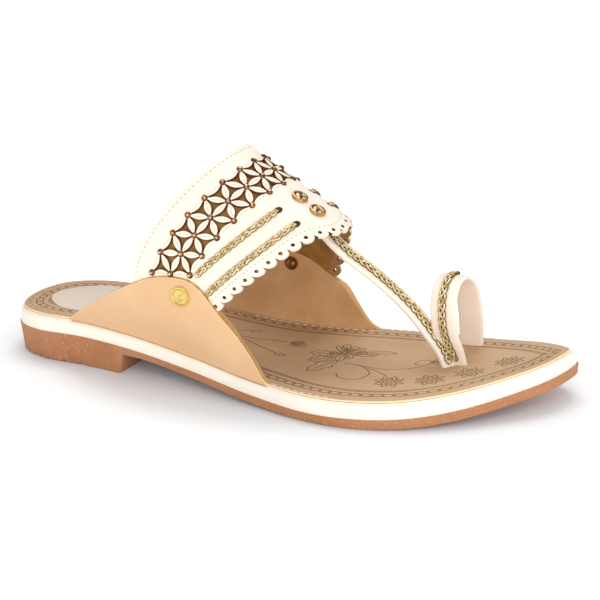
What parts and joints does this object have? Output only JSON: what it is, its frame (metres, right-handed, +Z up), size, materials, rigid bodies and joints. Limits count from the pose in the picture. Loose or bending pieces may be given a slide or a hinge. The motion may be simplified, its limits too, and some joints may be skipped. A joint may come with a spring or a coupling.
{
  "type": "flat toe-loop sandal",
  "caption": "Women's flat leather sandal for the right foot, with a cut-out instep band, side wings, thong strap, big-toe loop and low block heel.",
  "frame": {"origin": "on the floor, under the middle of the sole's bounding box", "axes": "+X from heel to toe, +Y to the inner (medial) side of the foot, +Z up"},
  "size_m": [0.25, 0.0914, 0.0948],
  "materials": {
    "brown_rubber": "satin",
    "cream_rand": "smooth, satin",
    "taupe_leather": "matte, printed",
    "sock_leather": "matte",
    "tan_leather": "smooth, matte",
    "cream_leather": "smooth, matte",
    "lining_leather": "matte",
    "gold_cord": "metallic plait",
    "rivet_brass": "polished",
    "amber_crystal": "faceted"
  },
  "bodies": {
    "root": {"outsole": "brown_rubber", "midsole": "cream_rand", "insole": "taupe_leather", "heel_sock": "sock_leather", "wing_outer": "tan_leather", "wing_inner": "tan_leather", "band": "cream_leather", "band_lining": "lining_leather", "thong_strap": "cream_leather", "toe_loop": "cream_leather", "cord_outer_rear": "gold_cord", "cord_outer_front": "gold_cord", "cord_inner_rear": "gold_cord", "cord_inner_front": "gold_cord", "cord_strap": "gold_cord", "cord_loop": "gold_cord", "rivet_outer": "rivet_brass", "rivet_inner": "rivet_brass", "crystal_rear": "amber_crystal", "crystal_front": "amber_crystal"}
  },
  "joints": []
}
